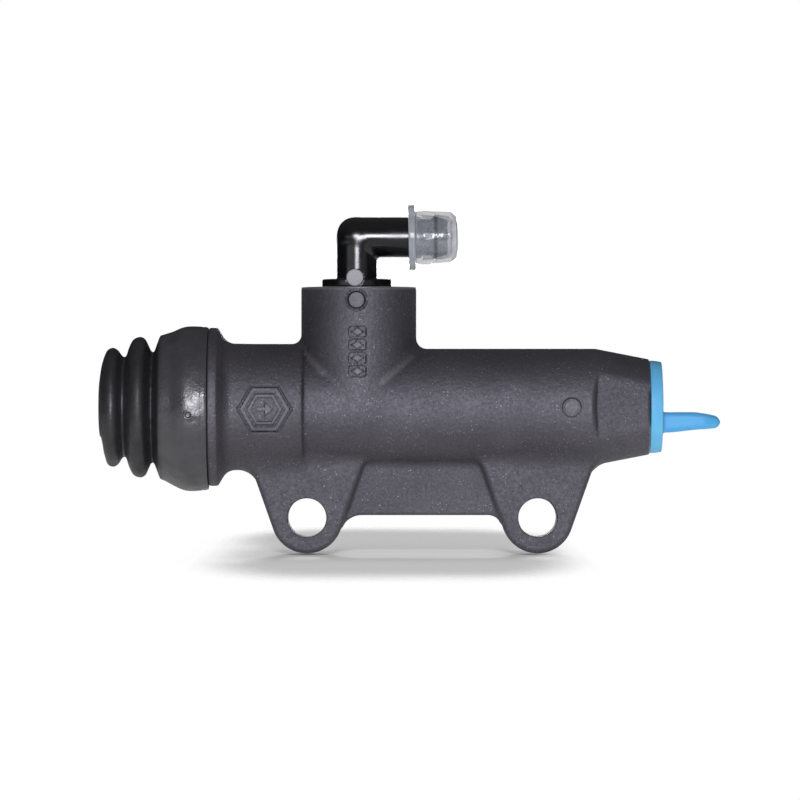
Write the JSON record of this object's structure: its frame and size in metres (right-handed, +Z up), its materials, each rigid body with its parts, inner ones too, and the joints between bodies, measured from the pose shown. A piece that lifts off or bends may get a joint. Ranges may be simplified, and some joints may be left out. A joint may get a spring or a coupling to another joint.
{
  "type": "motorcycle rear brake master cylinder",
  "caption": "Cast hydraulic cylinder with a rubber dust boot, swivelling hose elbow, sprung piston and capped ports, bolted on through its lugs.",
  "frame": {"origin": "midway between the two mounting holes, on the casting's plane of symmetry", "axes": "+X along the bore towards the outlet, +Z up to the reservoir elbow, Y along the mounting bolts"},
  "size_m": [0.135, 0.0354, 0.0758],
  "materials": {
    "black_casting": "satin cast",
    "boot_rubber": "satin",
    "seal_rubber": "satin",
    "black_plastic": "glossy",
    "clear_plastic": "clear",
    "blue_plastic": "satin",
    "bright_steel": "bright",
    "anodised_piston": "hard anodised",
    "white_plastic": "moulded"
  },
  "bodies": {
    "root": {"cylinder_body": "black_casting", "dust_boot": "boot_rubber", "circlip": "bright_steel", "stop_washer": "bright_steel", "elbow_snap_ring": "bright_steel", "return_spring": "bright_steel"},
    "piston": {"piston": "anodised_piston", "secondary_seal": "seal_rubber", "primary_cup": "seal_rubber", "cup_shim": "bright_steel", "spring_seat": "white_plastic"},
    "elbow": {"elbow_fitting": "black_plastic", "elbow_o_ring": "seal_rubber", "elbow_index_pin": "bright_steel"},
    "spigot_cap": {"spigot_cap": "clear_plastic"},
    "outlet_plug": {"outlet_plug": "blue_plastic"}
  },
  "joints": [
    {"name": "piston_stroke", "type": "slide", "parent": "root", "child": "piston", "axis": [1, 0, 0], "range_m": [0, 0.015], "stiffness_N_per_m": 1500, "springref_m": -0.008, "deforming": ["return_spring"]},
    {"name": "elbow_swivel", "type": "hinge", "parent": "root", "child": "elbow", "pos_m": [-0.0142, 0, 0.05], "axis": [0, 0, 1], "continuous": true},
    {"name": "spigot_cap_pull", "type": "slide", "parent": "elbow", "child": "spigot_cap", "axis": [1, 0, 0], "range_m": [0, 0.015]},
    {"name": "outlet_plug_pull", "type": "slide", "parent": "root", "child": "outlet_plug", "axis": [1, 0, 0], "range_m": [0, 0.012]}
  ]
}
